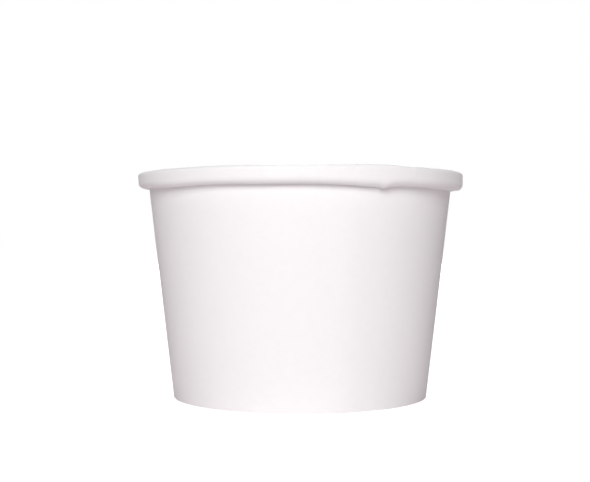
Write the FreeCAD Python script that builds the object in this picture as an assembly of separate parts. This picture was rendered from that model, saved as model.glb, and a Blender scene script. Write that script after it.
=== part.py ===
import FreeCAD
import Part
import math
import os

# A paper sundae cup, made as the real one is: from two blanks of coated board.
# The side wall is one sheet, wrapped into a cone with a lapped side seam,
# rolled outwards at the top and folded in and up at the bottom.
# The bottom disc is a pressed pan, whose skirt is sealed between the wall and the wall's hem.
# Frame: +Z up, origin on the table under the centre of the cup, millimetres.
# An azimuth is in degrees from the front of the cup (-Y) towards its right (+X).

# Cup, measured on the inside face of the wall
cup_height = 51.0  # table to the crest of the rolled rim
mouth_diameter = 69.5  # wall carried up to the crest
foot_diameter = 57.5  # wall carried down to the table

# Board and seals
wall_board = 0.40  # side wall board, with its coating
disc_board = 0.30  # bottom board, with its coating
seal_film = 0.03  # melted coating between two sealed faces

# Rolled rim
roll_width = 2.75  # mouth to the outside of the roll
roll_height = 3.9  # crest to the underside of the roll
crest_bend = 1.0  # outside radius of the roll's two upper bends
under_bend = 1.7  # outside radius of its lower bend
tuck_gap = 0.10  # wall to the roll's inner leg
tuck_length = 2.6  # inner leg, from the underside of the roll to its raw edge

# Foot
recess_depth = 6.2  # table to the underside of the bottom disc
hem_gap = 1.0  # underside of the bottom disc to the hem's raw edge
fold_bend = 0.08  # radius inside the fold that stands on the table
skirt_gap = 0.12  # skirt's raw edge to the fold, where the fold is thickest
shoulder_bend = 0.9  # outside radius of the bottom disc's edge

# Side seam
seam_azimuth = 28.0  # raw edge of the outer flap
lap_width = 6.0  # overlap, measured at the mouth
climb_width = 2.5  # where the outer flap rises over the raw edge of the inner flap
fade_width = 4.0  # where the roll starts to thicken before that
settle_width = 5.5  # where roll and fold come back to one layer after the seam
seam_drop = 0.45  # how much deeper the roll hangs at the seam
seam_rise = 0.30  # how much higher its crest stands there

# Every bend is drawn as flats that touch its arc and turn by about this much from one to the next
bend_step = 45.0
least_bend = 0.02  # radius that is left on the inside of a bend tighter than its board
bend_share = 0.94  # how much of a run the bends at its ends may use, so that some flat remains

# Near the seam the sheet is ruled through sections about this many degrees apart
section_step = 3.5

mouth_radius = mouth_diameter / 2
foot_radius = foot_diameter / 2
taper = (mouth_radius - foot_radius) / cup_height
lean = math.atan(taper)
up_the_wall = (math.sin(lean), math.cos(lean))


def degrees_at_mouth(width):
    return math.degrees(width / mouth_radius)


outer_edge = seam_azimuth
inner_edge = outer_edge - degrees_at_mouth(lap_width)
climb_start = inner_edge - degrees_at_mouth(climb_width)
fade_start = climb_start - degrees_at_mouth(fade_width)
settle_end = outer_edge + degrees_at_mouth(settle_width)


def wall_radius(height, offset=0.0):
    """Radius of the wall's inside face at a height, or of a face that lies offset outside it."""
    return foot_radius + taper * height + offset / math.cos(lean)


def heading(start, end):
    run = math.dist(start, end)
    return ((end[0] - start[0]) / run, (end[1] - start[1]) / run)


def turned(direction, angle):
    return (
        direction[0] * math.cos(angle) - direction[1] * math.sin(angle),
        direction[0] * math.sin(angle) + direction[1] * math.cos(angle),
    )


def right_of(direction):
    return (direction[1], -direction[0])


def moved(point, direction, distance):
    return (point[0] + direction[0] * distance, point[1] + direction[1] * distance)


def turn_between(before, after):
    """Angle from one direction to the next, positive to the left."""
    cross = before[0] * after[1] - before[1] * after[0]
    return math.atan2(cross, before[0] * after[0] + before[1] * after[1])


def fitted_bends(line, bends, depth):
    """The bends' radii, made smaller where a run is too short for what its two ends take up.

    A sharp crease takes up what the sheet needs inside it, at its depth to the right of the line.
    """
    runs = list(zip(line, line[1:]))
    headings = [heading(start, end) for start, end in runs]
    turns = [abs(turn_between(before, after)) for before, after in zip(headings, headings[1:])]
    taken = [0.0] + [(bend or depth) * math.tan(turn / 2) for bend, turn in zip(bends, turns)] + [0.0]
    shares = []
    for (start, end), first, last in zip(runs, taken, taken[1:]):
        shares.append(min(1.0, bend_share * math.dist(start, end) / (first + last)))
    return [bend and bend * min(before, after) for bend, before, after in zip(bends, shares, shares[1:])]


def bend_points(start, corner, end, bend, offset):
    """A bend on the face of the sheet that lies offset to the right of its line.

    With no bend it is a sharp crease, where the two offset lines meet.
    """
    before = heading(start, corner)
    after = heading(corner, end)
    turn = turn_between(before, after)
    crease = moved(corner, right_of(turned(before, turn / 2)), offset / math.cos(turn / 2))
    if not bend:
        return [crease]
    radius = max(least_bend, bend + math.copysign(offset, turn))
    count = max(2, round(abs(turn) / math.radians(bend_step)))
    half_flat = radius * math.tan(abs(turn) / count / 2)
    points = [moved(crease, before, half_flat - radius * math.tan(abs(turn) / 2))]
    for i in range(1, count):
        points.append(moved(points[-1], turned(before, turn * i / count), 2 * half_flat))
    return points


def sheet_section(line, bends, near, far):
    """Outline of a bent sheet in (radius, height), between two offsets to the right of a line.

    The line's corners are those of one face of the sheet, and each but its ends has a bend.
    """
    fitted = fitted_bends(line, bends, far)
    sides = []
    for offset in (near, far):
        side = [moved(line[0], right_of(heading(line[0], line[1])), offset)]
        for start, corner, end, bend in zip(line, line[1:], line[2:], fitted):
            side += bend_points(start, corner, end, bend, offset)
        side.append(moved(line[-1], right_of(heading(line[-2], line[-1])), offset))
        sides.append(side)
    return sides[0] + sides[1][::-1]


def stood_up(outline, azimuth):
    """The closed wire of an outline, in the upright plane at an azimuth."""
    turn = math.radians(azimuth)
    points = [FreeCAD.Vector(r * math.sin(turn), -r * math.cos(turn), z) for r, z in outline]
    return Part.makePolygon(points + points[:1])


def revolved(outline, azimuth, angle):
    face = Part.Face(stood_up(outline, azimuth))
    return face.revolve(FreeCAD.Vector(0, 0, 0), FreeCAD.Vector(0, 0, 1), angle)


def eased(share):
    """0 to 1, with a level start and end."""
    share = min(1.0, max(0.0, share))
    return share * share * (3 - 2 * share)


def before_seam(azimuth, start, end):
    return (azimuth - start) / (end - start)


def after_seam(azimuth):
    return (settle_end - azimuth) / (settle_end - outer_edge)


def seam_spread(azimuth):
    """How far the lap pushes out what lies outside it, from nothing to one board."""
    share = min(before_seam(azimuth, climb_start, inner_edge), after_seam(azimuth))
    return wall_board * min(1.0, max(0.0, share))


def seam_swell(azimuth):
    """How much the lap thickens the roll, from 0 to 1."""
    return eased(min(before_seam(azimuth, fade_start, outer_edge), after_seam(azimuth)))


def wall_section(azimuth, near, far):
    """The side wall at an azimuth, from the hem's raw edge to the roll's.

    Its line is the inside face of the cup, which is also the outside of the roll.
    """
    outside = wall_board + seam_spread(azimuth)
    crest = cup_height + seam_rise * seam_swell(azimuth)
    underside = cup_height - roll_height - seam_drop * seam_swell(azimuth)
    roll_radius = mouth_radius + roll_width
    hem_top = recess_depth - hem_gap
    skirt_room = disc_board + 2 * seal_film
    tuck_foot = (wall_radius(underside, outside + tuck_gap), underside)
    line = [
        (wall_radius(hem_top, -skirt_room), hem_top),
        (wall_radius(outside, -skirt_room), outside),
        (wall_radius(outside), outside),
        (wall_radius(crest), crest),
        (roll_radius, crest),
        (roll_radius, underside),
        tuck_foot,
        moved(tuck_foot, up_the_wall, tuck_length),
    ]
    bends = [fold_bend, fold_bend, crest_bend, crest_bend, under_bend, None]
    return sheet_section(line, bends, near, far)


def no_lift(azimuth):
    return 0.0


def lofted_run(start, end, lift, thickness):
    """A stretch of the side wall near the seam, ruled through its sections.

    The lift is how far its inner face stands off the line at an azimuth.
    """
    count = math.ceil((end - start) / section_step)
    wires = []
    for i in range(count + 1):
        azimuth = start + (end - start) * i / count
        near = lift(azimuth)
        wires.append(stood_up(wall_section(azimuth, near, near + thickness), azimuth))
    return Part.makeLoft(wires, True, True)


def make_side_wall():
    single = wall_board
    double = 2 * wall_board
    cone = revolved(wall_section(settle_end, 0, single), settle_end, 360 + fade_start - settle_end)
    seam = [
        lofted_run(fade_start, climb_start, no_lift, single),
        lofted_run(climb_start, inner_edge, seam_spread, single),
        lofted_run(inner_edge, outer_edge, no_lift, double),
        lofted_run(outer_edge, settle_end, no_lift, single),
    ]
    (sheet,) = cone.fuse(seam).Solids
    return sheet


def make_bottom_disc():
    """A pan turned upside down: a flat panel, and a skirt that follows the wall."""
    top = recess_depth + disc_board
    skirt_end = 2 * wall_board + skirt_gap
    line = [
        (0.0, top),
        (wall_radius(top, -seal_film), top),
        (wall_radius(skirt_end, -seal_film), skirt_end),
    ]
    return revolved(sheet_section(line, [shoulder_bend], 0, disc_board), 0, 360)


os.makedirs("parts", exist_ok=True)
for name, shape in (("side_wall", make_side_wall()), ("bottom_disc", make_bottom_disc())):
    size = shape.BoundBox
    print(name, "valid", shape.isValid(), "faces", len(shape.Faces), "volume %.1f" % shape.Volume)
    print("  size %.2f x %.2f x %.2f, foot at %.2f" % (size.XLength, size.YLength, size.ZLength, size.ZMin))
    shape.exportStep("parts/%s.step" % name)
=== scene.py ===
import math
import bmesh
import bpy
import numpy as np
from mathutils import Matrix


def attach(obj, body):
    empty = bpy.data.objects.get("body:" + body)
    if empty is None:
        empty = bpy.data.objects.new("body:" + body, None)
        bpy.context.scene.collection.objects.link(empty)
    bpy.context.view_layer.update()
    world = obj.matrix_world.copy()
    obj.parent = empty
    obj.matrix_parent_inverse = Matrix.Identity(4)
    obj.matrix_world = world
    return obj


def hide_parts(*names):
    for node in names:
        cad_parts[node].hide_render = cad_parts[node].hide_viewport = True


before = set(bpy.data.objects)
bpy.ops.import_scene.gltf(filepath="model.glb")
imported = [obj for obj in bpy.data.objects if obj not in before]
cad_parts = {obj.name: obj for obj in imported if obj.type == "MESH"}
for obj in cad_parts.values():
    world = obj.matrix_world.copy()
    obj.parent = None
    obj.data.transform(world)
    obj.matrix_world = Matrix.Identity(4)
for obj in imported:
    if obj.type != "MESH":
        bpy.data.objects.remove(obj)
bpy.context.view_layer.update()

# A white paper sundae cup on a pale table, seen from the front and just below its rim.
# Sizes are in millimetres, and mm turns them to metres where Blender takes them.
# A turn is an angle round the cup in degrees, from the front (-Y) towards its right (+X).
mm = 0.001
mergeWithin = 1e-7  # metres between points that become one, which closes a pole
sharpFrom = 40  # degrees between faces that are shaded apart


# Shared shapes

def easeInOut(share):
    # 0 to 1, with a level start and end
    share = np.clip(share, 0, 1)
    return share * share * (3 - 2 * share)


def lump(turn, middle, reach):
    # a raised cosine: 1 at the middle, 0 from the reach outwards, measured the short way round
    away = np.abs((turn - middle + 180) % 360 - 180)
    return np.where(away < reach, 0.5 + 0.5 * np.cos(np.pi * away / reach), 0.0)


def lumps(turn, terms):
    # sum of lumps, each given by its middle, reach and height
    return sum(height * lump(turn, middle, reach) for middle, reach, height in terms)


def wave(turn, terms):
    # sum of cosines round the cup, each given by its count round the cup, height and phase
    total = np.zeros_like(turn)
    for count, height, phase in terms:
        total = total + height * np.cos(count * np.radians(turn) + phase)
    return total


def ridges(turn, count):
    # a raised cosine of the turn, 0 to 1, so many times round the cup
    return 0.5 + 0.5 * np.cos(np.radians(turn) * count)


def rightOf(angle):
    # the right-hand normal of a heading, in (radius, height)
    return np.stack([np.sin(angle), -np.cos(angle)], axis=-1)


def bentLine(corners, bends, runRows, bendRows):
    # The line that a bent sheet follows, as (radius, height) at each row and turn, and its right-hand
    # normal. Straight runs join round bends at the corners. On a bend a point is centre + bend * normal,
    # with the bend negative where the line turns right, and the normal turns evenly from one run's to the
    # next's. On a run the points are shared out evenly.
    step = np.diff(corners, axis=0)
    heading = np.arctan2(step[..., 1], step[..., 0])
    arcs = []
    for i, bend in enumerate(bends):
        turn = (heading[i + 1] - heading[i] + np.pi) % (2 * np.pi) - np.pi
        signedBend = np.sign(turn) * bend
        centre = corners[i + 1] - rightOf(heading[i] + turn / 2) * (signedBend / np.cos(turn / 2))[:, None]
        share = np.linspace(0, 1, bendRows[i])[:, None]
        normal = rightOf(heading[i] + turn * share)
        arcs.append((centre + normal * signedBend[:, None], normal))
    rows = []
    normals = []
    for i, count in enumerate(runRows):
        start = arcs[i - 1][0][-1] if i else corners[0]
        end = arcs[i][0][0] if i < len(bends) else corners[-1]
        first = 0 if i == 0 else 1
        last = count + 2 if i == len(bends) else count + 1
        share = np.linspace(0, 1, count + 2)[first:last]
        rows.append(start + (end - start) * share[:, None, None])
        normals.append(np.repeat(rightOf(heading[i])[None], len(share), axis=0))
        if i < len(bends):
            rows.append(arcs[i][0])
            normals.append(arcs[i][1])
    return np.concatenate(rows), np.concatenate(normals)


def aroundAxis(face, turn):
    # (radius, height) at a turn, as x, y, z
    angle = np.radians(turn)
    return np.stack([face[..., 0] * np.sin(angle), -face[..., 0] * np.cos(angle), face[..., 1]], axis=-1)


def sheetMesh(name, near, far, turn, closed, materials):
    # A sheet between two faces of as many rows and turns, with strips along its raw edges. The faces point
    # outwards: the near face to the left of the line and the far face to its right. The materials are those
    # of the near face, the far face and all raw edges.
    rows, columns = near.shape[:2]
    points = np.concatenate([aroundAxis(near, turn).reshape(-1, 3), aroundAxis(far, turn).reshape(-1, 3)])
    number = np.arange(rows * columns).reshape(rows, columns)
    if closed:
        number = np.hstack([number, number[:, :1]])
    other = number + rows * columns

    def grid(ids):
        return np.stack([ids[:-1, :-1], ids[:-1, 1:], ids[1:, 1:], ids[1:, :-1]], axis=-1).reshape(-1, 4)

    def strip(first, second):
        return np.stack([first[:-1], first[1:], second[1:], second[:-1]], axis=-1)

    faces = [grid(number)[:, ::-1], grid(other), strip(number[0], other[0]), strip(other[-1], number[-1])]
    if not closed:
        faces += [strip(other[:, 0], number[:, 0]), strip(number[:, -1], other[:, -1])]
    slots = np.concatenate([np.full(len(part), min(i, 2)) for i, part in enumerate(faces)])
    quads = np.concatenate(faces)
    mesh = bpy.data.meshes.new(name)
    mesh.vertices.add(len(points))
    mesh.vertices.foreach_set("co", (points * mm).astype(np.float32).ravel())
    mesh.loops.add(quads.size)
    mesh.loops.foreach_set("vertex_index", quads.astype(np.int32).ravel())
    mesh.polygons.add(len(quads))
    mesh.polygons.foreach_set("loop_start", np.arange(0, quads.size, 4, dtype=np.int32))
    mesh.polygons.foreach_set("material_index", slots.astype(np.int32))
    mesh.update(calc_edges=True)
    merged = bmesh.new()
    merged.from_mesh(mesh)
    bmesh.ops.remove_doubles(merged, verts=merged.verts, dist=mergeWithin)
    merged.to_mesh(mesh)
    merged.free()
    for material in materials:
        mesh.materials.append(material)
    mesh.shade_smooth()
    mesh.set_sharp_from_angle(angle=math.radians(sharpFrom))
    piece = bpy.data.objects.new(name, mesh)
    bpy.context.scene.collection.objects.link(piece)
    return piece


# Materials

class Signal:
    # one socket of a node tree: arithmetic on it adds Math nodes, and make() adds any other node
    def __init__(self, tree, socket=None):
        self.tree = tree
        self.socket = socket

    def make(self, kind, settings=None, sockets=None, out=0):
        node = self.tree.nodes.new(kind)
        for key, value in (settings or {}).items():
            if key == "stops":
                self.setStops(node.color_ramp, value)
            else:
                setattr(node, key, value)
        for key, value in (sockets or {}).items():
            if isinstance(value, Signal):
                self.tree.links.new(value.socket, node.inputs[key])
            else:
                node.inputs[key].default_value = value
        return Signal(self.tree, node.outputs[out]) if node.outputs else node

    @staticmethod
    def setStops(ramp, stops):
        while len(ramp.elements) < len(stops):
            ramp.elements.new(0.5)
        for element, (place, level) in zip(ramp.elements, stops):
            element.position = place
            element.color = (level, level, level, 1)

    def maths(self, operation, first, second):
        return self.make("ShaderNodeMath", {"operation": operation}, {0: first, 1: second})

    def __add__(self, other):
        return self.maths("ADD", self, other)

    __radd__ = __add__

    def __sub__(self, other):
        return self.maths("SUBTRACT", self, other)

    def __rsub__(self, other):
        return self.maths("SUBTRACT", other, self)

    def __mul__(self, other):
        return self.maths("MULTIPLY", self, other)

    __rmul__ = __mul__


def newTree(name):
    material = bpy.data.materials.new(name)
    material.use_nodes = True
    material.node_tree.nodes.clear()
    return material, Signal(material.node_tree)


paper = {
    "color": (0.945, 0.943, 0.940),
    "thin": (0.925, 0.921, 0.915),  # where the fibres lie thinner
    "thinShare": 0.6,  # how far the colour goes towards that
    "thinStops": [(0.38, 0), (0.66, 1)],
    "roughness": 0.72,
    "gloss": 0.05,  # specular level
    "cloud": 1.4,  # mm, the uneven lie of the fibres
    "fibre": 0.22,  # mm
    "ripple": 5.0,  # mm, the slow unevenness of a coated board
    "grain": 0.6,  # how strong each noise's finer steps are
    "cloudRelief": 0.02,  # mm
    "fibreRelief": 0.012,  # mm
    "rippleRelief": 0.05,  # mm
    "cloudRoughness": 0.10,
    "fibreRoughness": 0.12,
}
coatedSide = {**paper, "roughness": 0.52, "gloss": 0.20}
underside = {**paper, "color": (0.935, 0.930, 0.922), "gloss": 0.10}
rawEdge = {
    "pale": (0.90, 0.885, 0.86),
    "dark": (0.80, 0.78, 0.75),
    "roughness": 0.9,
    "gloss": 0.2,
    "fuzz": 6000.0,  # lumps of fibre in a metre
    "relief": 0.05,  # mm
    "strength": 0.8,
}


def makePaper(name, look):
    # coated board: nearly even white, with the cloudy lie of its fibres just showing through the coating
    material, start = newTree(name)
    place = start.make("ShaderNodeTexCoord", out="Object")

    def noise(size, detail):
        return start.make(
            "ShaderNodeTexNoise", None,
            {"Vector": place, "Scale": 1 / (size * mm), "Detail": detail, "Roughness": look["grain"]},
            out="Fac")

    cloud = noise(look["cloud"], 3.0)
    fibre = noise(look["fibre"], 2.0)
    ripple = noise(look["ripple"], 1.0)
    patch = cloud.make("ShaderNodeValToRGB", {"stops": look["thinStops"]}, {"Fac": cloud})
    color = patch.make(
        "ShaderNodeMix", {"data_type": "RGBA"},
        {"Factor": patch * look["thinShare"], 6: (*look["color"], 1), 7: (*look["thin"], 1)}, out=2)
    height = fibre * look["fibreRelief"] + cloud * look["cloudRelief"] + ripple * look["rippleRelief"]
    bump = height.make("ShaderNodeBump", None, {"Strength": 1.0, "Distance": mm, "Height": height})
    uneven = (fibre - 0.5) * look["fibreRoughness"] + (cloud - 0.5) * look["cloudRoughness"]
    surface = start.make(
        "ShaderNodeBsdfPrincipled", None,
        {
            "Base Color": color,
            "Roughness": look["roughness"] + uneven,
            "Specular IOR Level": look["gloss"],
            "Normal": bump,
        })
    start.make("ShaderNodeOutputMaterial", None, {"Surface": surface})
    return material


def makeRawEdge(name, look):
    # the raw edge of the board: uncoated fibre, a little darker
    material, start = newTree(name)
    place = start.make("ShaderNodeTexCoord", out="Object")
    fuzz = start.make(
        "ShaderNodeTexNoise", None, {"Vector": place, "Scale": look["fuzz"], "Detail": 3.0}, out="Fac")
    color = fuzz.make(
        "ShaderNodeMix", {"data_type": "RGBA"},
        {"Factor": fuzz, 6: (*look["pale"], 1), 7: (*look["dark"], 1)}, out=2)
    bump = fuzz.make(
        "ShaderNodeBump", None,
        {"Strength": look["strength"], "Distance": look["relief"] * mm, "Height": fuzz})
    surface = start.make(
        "ShaderNodeBsdfPrincipled", None,
        {
            "Base Color": color,
            "Roughness": look["roughness"],
            "Specular IOR Level": look["gloss"],
            "Normal": bump,
        })
    start.make("ShaderNodeOutputMaterial", None, {"Surface": surface})
    return material


wallPaper = makePaper("wall paper", paper)
wallCoated = makePaper("wall paper, coated side", coatedSide)
bottomPaper = makePaper("bottom paper", underside)
bottomCoated = makePaper("bottom paper, coated side", coatedSide)
cutEdge = makeRawEdge("cut board edge", rawEdge)
print("materials made")


# Side wall: one sheet, wrapped round with a lapped seam, rolled at the top and folded in at the foot

wall = {
    "height": 51.0,  # table to the top of the cup
    "mouth": 34.75,  # inside radius, carried up to that height
    "foot": 28.75,  # inside radius, carried down to the table
    "board": 0.40,
    "skirtRoom": 0.36,  # left between wall and hem for the bottom's skirt
    "hemTop": 5.2,
    "foldBend": 0.08,
    "squareFold": 0.12,  # how far the board fills the fold's corners
    "grooves": 80,  # pressed into the hem by a knurled roller, all round
    "grooveDepth": 0.07,
    "grooveLow": 1.1,
    "grooveHigh": 4.7,
    "grooveFade": 0.5,
    "waviness": [(3, 0.020, 0.6), (7, 0.012, 2.9), (13, 0.006, 1.3)],
    "wavyTop": 45.0,
    "wavyFade": 12.0,
    "wavyTwist": 1.5,  # degrees for each mm of height
    "columns": 480,  # for a whole turn, 6 for each groove
    "seamColumns": 170,
    "runRows": [7, 1, 15, 2, 3, 1, 3],
    "bendRows": [4, 5, 9, 10, 9, 5],
}
wallTaper = (wall["mouth"] - wall["foot"]) / wall["height"]
wallSlant = math.hypot(1, wallTaper)  # length along the wall for each mm of height
roll = {
    "width": 2.67,  # mouth to the outside of the roll
    "height": 3.78,
    "crestBelow": 0.03,  # how far its crest lies below the top of the cup, where nothing lifts it
    "crestBend": 1.0,
    "outerBend": 0.85,
    "underBend": 1.45,
    "tuckBend": 0.4,
    "tuckGap": 0.12,
    "tuckLength": 2.6,
    "wobble": [(2, 0.03, 0.4), (5, 0.025, 2.1), (9, 0.02, 4.0), (16, 0.012, 1.0)],
    "crestWobble": (0.4, 0),  # share of the wobble, and how far round it is turned
    "underWobble": (0.5, 40),
    "outerWobble": (0.25, 90),
    "aside": 0.07,  # the roll is a little off centre, towards the cup's right
    "tuckedIn": 0.15,  # how much further in its outer face ends below
    "tuckedInLeft": 0.10,  # more of that on the left, and as much less on the right
    "heavySide": 75.0,  # turn at which the roll is deepest, on the seam's side
    "heavyReach": 75.0,
    "heavyDrop": 0.34,
    "heavyRise": 0.12,
    # places where the roller left it a little deeper, higher, fuller or tighter: turn, reach and how much
    "dips": [(-50, 16, 0.12), (-30, 14, -0.10), (28.3, 3.4, 0.30), (-94, 42, -0.62), (97, 35, -0.50)],
    "humps": [(32, 8, 0.08)],
    "fuller": [(36, 40, 0.35), (-92, 45, -0.25), (94, 38, -0.15)],
    "squarer": [(-90, 45, -0.35), (88, 40, -0.40)],
}
seam = {
    "outerEdge": 28.0,  # raw edge that shows outside
    "innerEdge": 18.107,  # raw edge that shows inside
    "climbStart": 8.0,
    "settleEnd": 38.0,
    "gap": 0.012,
    "thinEdge": 0.15,  # what the sealing jaws leave of the inner flap's edge
    "thinEdgeInRoll": 0.05,
    "thinOuterEdge": 0.07,
    "rollPressFrom": 40.0,  # heights between which the edge gets as thin as in the roll
    "rollPressTo": 46.0,
    "swellStart": 2.0,
    "swellPeak": 26.0,
    "drop": 0.40,
    "rise": 0.27,
}


def wallRadius(height, offset=0.0):
    # radius of the wall's inside face at a height, or of a face that lies offset outside it
    return wall["foot"] + wallTaper * height + offset * wallSlant


def wobble(around, shareAndShift):
    share, shift = shareAndShift
    return share * wave(around + shift, roll["wobble"])


def lapSwell(around):
    # 0 to 1, how much the lap thickens the roll: up to the peak and down to where the seam has settled
    rising = (around - seam["swellStart"]) / (seam["swellPeak"] - seam["swellStart"])
    falling = (seam["settleEnd"] - around) / (seam["settleEnd"] - seam["swellPeak"])
    return easeInOut(np.minimum(rising, falling))


def wallCorners(around, spread):
    # corner points (radius, height) of the sheet's inside face at each turn, from the hem's raw edge to the
    # roll's; the spread is what the lap adds to the board
    thick = wall["board"] + spread
    lap = lapSwell(around)
    heavy = lump(around, roll["heavySide"], roll["heavyReach"])
    toTheRight = np.sin(np.radians(around))
    crest = wall["height"] - roll["crestBelow"] + seam["rise"] * lap + roll["heavyRise"] * heavy
    crest = crest + wobble(around, roll["crestWobble"]) + lumps(around, roll["humps"])
    under = wall["height"] - roll["height"] - seam["drop"] * lap - roll["heavyDrop"] * heavy
    under = under + wobble(around, roll["underWobble"]) - lumps(around, roll["dips"])
    outer = wall["mouth"] + roll["width"] + wobble(around, roll["outerWobble"]) + roll["aside"] * toTheRight
    outerFoot = outer - roll["tuckedIn"] + roll["tuckedInLeft"] * toTheRight
    hemTop = np.full_like(around, wall["hemTop"])
    tuckOffset = thick + roll["tuckGap"]
    tuckTop = under + roll["tuckLength"] / wallSlant
    return np.array([
        (wallRadius(hemTop, -wall["skirtRoom"]), hemTop),
        (wallRadius(thick, -wall["skirtRoom"]), thick),
        (wallRadius(thick), thick),
        (wallRadius(crest), crest),
        (outer, crest),
        (outerFoot, under),
        (wallRadius(under, tuckOffset), under),
        (wallRadius(tuckTop, tuckOffset), tuckTop),
    ]).transpose(0, 2, 1)


def wallBends(around):
    # radius of the bend at each corner between the ends
    return [
        wall["foldBend"],
        wall["foldBend"],
        roll["crestBend"],
        roll["outerBend"] + lumps(around, roll["squarer"]),
        roll["underBend"] + lumps(around, roll["fuller"]),
        roll["tuckBend"],
    ]


def wallTurns():
    # the turn of each column, from the inner flap's raw edge to the outer flap's, which is once round and
    # the lap, with the columns closer together near the seam
    first = seam["innerEdge"]
    last = 360 + seam["outerEdge"]
    fineEnd = seam["settleEnd"]
    fineStart = 360 + seam["climbStart"]
    fineShare = (fineEnd - first) / (fineEnd - first + last - fineStart)
    firstCount = round(wall["seamColumns"] * fineShare)
    plainCount = round(wall["columns"] * (fineStart - fineEnd) / 360)
    return np.concatenate([
        np.linspace(first, fineEnd, firstCount),
        np.linspace(fineEnd, fineStart, plainCount)[1:-1],
        np.linspace(fineStart, last, wall["seamColumns"] - firstCount),
    ])


def lapOffsets(height, around, outerFlap, climb):
    # how far the sheet's two faces lie to the right of its line: the inner flap is pressed thin towards its
    # edge, more so in the roll, and the outer flap rides on it and gets thinner towards its own edge
    intoLap = easeInOut((around - seam["innerEdge"]) / (seam["outerEdge"] - seam["innerEdge"]))
    inRoll = easeInOut((height - seam["rollPressFrom"]) / (seam["rollPressTo"] - seam["rollPressFrom"]))
    thinEdge = seam["thinEdge"] + (seam["thinEdgeInRoll"] - seam["thinEdge"]) * inRoll
    innerThick = thinEdge + (wall["board"] - thinEdge) * intoLap
    outerThick = wall["board"] + (seam["thinOuterEdge"] - wall["board"]) * intoLap
    onTop = outerFlap & (around < 180)
    near = np.where(onTop, (innerThick + seam["gap"]) * climb, 0.0)
    far = near + np.where(onTop, outerThick, np.where(outerFlap, wall["board"], innerThick))
    return near, far


def hemShare(height):
    # 1 on the grooved band of the hem, fading to 0 at its top and bottom and on the rest of the wall
    share = easeInOut((height - wall["grooveLow"]) / wall["grooveFade"])
    share = share * easeInOut((wall["grooveHigh"] - height) / wall["grooveFade"])
    share[wall["runRows"][0] + wall["bendRows"][0]:] = 0
    return share


def foldBulge(rows):
    # the fold that stands on the table is pressed nearly square: over each of its two bends the board bulges
    # out by the fourth power of a sine
    bulge = np.zeros(rows)
    corner = wall["runRows"][0] + 1
    for count in wall["bendRows"][:2]:
        bulge[corner:corner + count] = wall["squareFold"] * np.sin(np.linspace(0, np.pi, count)) ** 4
        corner += count + wall["runRows"][1]
    return bulge[:, None]


def makeSideWall():
    # each face is line + normal * offset, at each row and turn
    turn = wallTurns()
    around = np.where(turn > 360, turn - 360, turn)
    outerFlap = turn > 180 + seam["innerEdge"]
    climb = easeInOut((around - seam["climbStart"]) / (seam["innerEdge"] - seam["climbStart"]))
    settle = easeInOut((seam["settleEnd"] - around) / (seam["settleEnd"] - seam["outerEdge"]))
    spread = (seam["thinEdge"] + seam["gap"]) * np.minimum(climb, settle)
    corners = wallCorners(around, spread)
    line, normal = bentLine(corners, wallBends(around), wall["runRows"], wall["bendRows"])
    height = line[..., 1]
    near, far = lapOffsets(height, around, outerFlap, climb)
    hem = hemShare(height)
    far = far - wall["grooveDepth"] * hem * ridges(turn, wall["grooves"]) + foldBulge(len(line))
    # the wall itself is never quite round: a few slow waves that die out towards the roll and the fold
    free = easeInOut(height / wall["wavyFade"]) * easeInOut((wall["wavyTop"] - height) / wall["wavyFade"])
    line[..., 0] += free * (hem == 0) * wave(around + height * wall["wavyTwist"], wall["waviness"])
    nearFace = line + normal * near[..., None]
    farFace = line + normal * far[..., None]
    return sheetMesh("paper_side_wall", nearFace, farFace, turn, False, [wallCoated, wallPaper, cutEdge])


sideWall = makeSideWall()
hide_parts("side_wall")
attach(sideWall, "root")
print("side wall made, %d faces" % len(sideWall.data.polygons))


# Bottom disc: a round blank pressed into a pan, turned upside down

bottom = {
    "top": 6.5,
    "board": 0.30,
    "seal": 0.03,  # melted coating between the skirt and the wall
    "skirtEnd": 0.92,
    "shoulder": 0.9,
    "sag": 0.22,  # how far the middle of the panel hangs below its edge
    "pleats": 140,  # fine gathers that the press leaves in the shoulder and skirt
    "pleatDepth": 0.035,
    "pleatStart": 1.0,  # how far inside the shoulder they start
    "pleatFade": 1.5,
    "pleatThrough": 0.6,  # share of their depth on the underside
    "columns": 840,  # 6 for each pleat
    "runRows": [9, 3],
    "bendRows": [8],
}


def makeBottomDisc():
    # each face is line + normal * offset, and the line is the panel's top and the skirt's outside
    turn = np.arange(bottom["columns"]) * 360 / bottom["columns"]
    panelRadius = wallRadius(bottom["top"], -bottom["seal"])
    skirtRadius = wallRadius(bottom["skirtEnd"], -bottom["seal"])
    corners = np.array([
        (0.0, bottom["top"]),
        (panelRadius, bottom["top"]),
        (skirtRadius, bottom["skirtEnd"]),
    ])
    corners = np.repeat(corners[:, None], len(turn), axis=1)
    line, normal = bentLine(corners, [bottom["shoulder"]], bottom["runRows"], bottom["bendRows"])
    # the panel sags as sag * (1 - (radius / edge) squared) squared
    edge = panelRadius - bottom["shoulder"]
    inside = np.clip(1 - (line[..., 0] / edge) ** 2, 0, 1)
    line[..., 1] -= bottom["sag"] * inside ** 2
    # the pleats are a raised cosine of the turn that fades in towards the shoulder
    pleated = easeInOut((line[..., 0] - edge + bottom["pleatStart"]) / bottom["pleatFade"])
    pleat = bottom["pleatDepth"] * pleated * ridges(turn, bottom["pleats"])
    nearFace = line + normal * pleat[..., None]
    farFace = line + normal * (bottom["board"] - pleat * bottom["pleatThrough"])[..., None]
    return sheetMesh("paper_bottom", nearFace, farFace, turn, True, [bottomCoated, bottomPaper, cutEdge])


bottomDisc = makeBottomDisc()
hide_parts("bottom_disc")
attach(bottomDisc, "root")
print("bottom disc made, %d faces" % len(bottomDisc.data.polygons))


# Floor, lamps and camera

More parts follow.
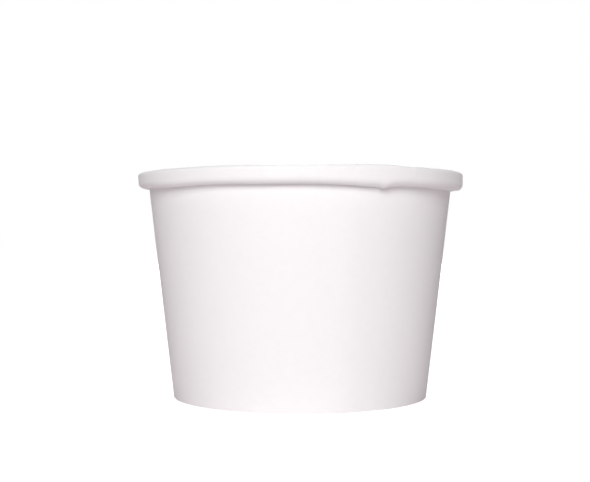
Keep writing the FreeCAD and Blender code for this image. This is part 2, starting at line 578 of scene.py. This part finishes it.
view = {
    "distance": 251.2,  # mm, cup's axis to the lens
    "height": 35.72,
    "aside": -1.15,  # the cup stands a little right of the picture's middle
    "focalPixels": 1078.0,
    "pictureWidth": 590,
    "sensorWidth": 36,
    "nearest": 0.01,  # metres
    "farthest": 50,
}
light = {
    "lamps": [  # name, turn and height angle in degrees, distance, size, power
        ("key", -4, 24, 1500, 850, 18.5),
        ("top", 0, 90, 1500, 900, 2.5),
        ("back", 177, 20, 1500, 300, 12.0),
    ],
    "aim": 25,  # height on the cup's axis that the lamps point at
    "skyColor": (1.0, 0.89, 0.935),
    "skyStrength": 0.055,
}
floor = {
    "reach": 6.0,  # metres from the cup to its edges
    "color": (0.86, 0.78, 0.81),
    "glow": 0.85,  # what it adds for the camera close to the cup
    "glowFrom": 0.2,  # metres from the cup where that starts to rise
    "glowTo": 1.2,  # metres where it has come to 1, the white of the world
}


def makeCamera():
    data = bpy.data.cameras.new("camera")
    data.sensor_width = view["sensorWidth"]
    data.lens = view["focalPixels"] / view["pictureWidth"] * data.sensor_width
    data.clip_start = view["nearest"]
    data.clip_end = view["farthest"]
    camera = bpy.data.objects.new("camera", data)
    camera.location = (view["aside"] * mm, -view["distance"] * mm, view["height"] * mm)
    camera.rotation_euler = (math.radians(90), 0, 0)
    bpy.context.scene.collection.objects.link(camera)
    bpy.context.scene.camera = camera


def makeLamp(name, turn, lift, distance, size, power):
    # a soft disc aimed at the cup
    data = bpy.data.lights.new(name, "AREA")
    data.shape = "DISK"
    data.size = size * mm
    data.energy = power
    lamp = bpy.data.objects.new(name, data)
    turn = math.radians(turn)
    lift = math.radians(lift)
    level = distance * math.cos(lift)
    height = light["aim"] + distance * math.sin(lift)
    lamp.location = (level * math.sin(turn) * mm, -level * math.cos(turn) * mm, height * mm)
    lamp.rotation_euler = (math.radians(90) - lift, 0, turn)
    bpy.context.scene.collection.objects.link(lamp)


def makeWorld():
    # white to the camera and in reflections, a tinted even light for the rest
    world = bpy.data.worlds.new("studio")
    world.use_nodes = True
    world.node_tree.nodes.clear()
    bpy.context.scene.world = world
    start = Signal(world.node_tree)
    seen = start.make("ShaderNodeLightPath", out="Is Camera Ray")
    for ray in ("Is Glossy Ray", "Is Transmission Ray"):
        seen = start.maths("MAXIMUM", seen, start.make("ShaderNodeLightPath", out=ray))
    white = start.make("ShaderNodeBackground", None, {"Color": (1, 1, 1, 1), "Strength": 1.0})
    sky = start.make(
        "ShaderNodeBackground", None, {"Color": (*light["skyColor"], 1), "Strength": light["skyStrength"]})
    mixed = start.make("ShaderNodeMixShader", None, {0: seen, 1: sky, 2: white})
    start.make("ShaderNodeOutputWorld", None, {"Surface": mixed})


def makeFloor():
    # a square that takes the cup's shadow, and glows for the camera, more so far away
    reach = floor["reach"]
    corners = [(-reach, -reach, 0), (reach, -reach, 0), (reach, reach, 0), (-reach, reach, 0)]
    mesh = bpy.data.meshes.new("floor")
    mesh.from_pydata(corners, [], [(0, 1, 2, 3)])
    material, start = newTree("pale floor")
    surface = start.make("ShaderNodeBsdfDiffuse", None, {"Color": (*floor["color"], 1), "Roughness": 0.0})
    camera = start.make("ShaderNodeLightPath", out="Is Camera Ray")
    place = start.make("ShaderNodeTexCoord", out="Object")
    away = start.make("ShaderNodeVectorMath", {"operation": "LENGTH"}, {0: place}, out="Value")
    glow = start.make(
        "ShaderNodeMapRange", {"interpolation_type": "SMOOTHSTEP"},
        {
            "Value": away,
            "From Min": floor["glowFrom"],
            "From Max": floor["glowTo"],
            "To Min": floor["glow"],
            "To Max": 1.0,
        })
    added = start.make("ShaderNodeEmission", None, {"Color": (1, 1, 1, 1), "Strength": camera * glow})
    both = start.make("ShaderNodeAddShader", None, {0: surface, 1: added})
    start.make("ShaderNodeOutputMaterial", None, {"Surface": both})
    mesh.materials.append(material)
    table = bpy.data.objects.new("floor", mesh)
    bpy.context.scene.collection.objects.link(table)


makeCamera()
for lamp in light["lamps"]:
    makeLamp(*lamp)
makeWorld()
makeFloor()
bpy.context.scene.view_settings.view_transform = "Standard"
print("camera, lamps and floor set")
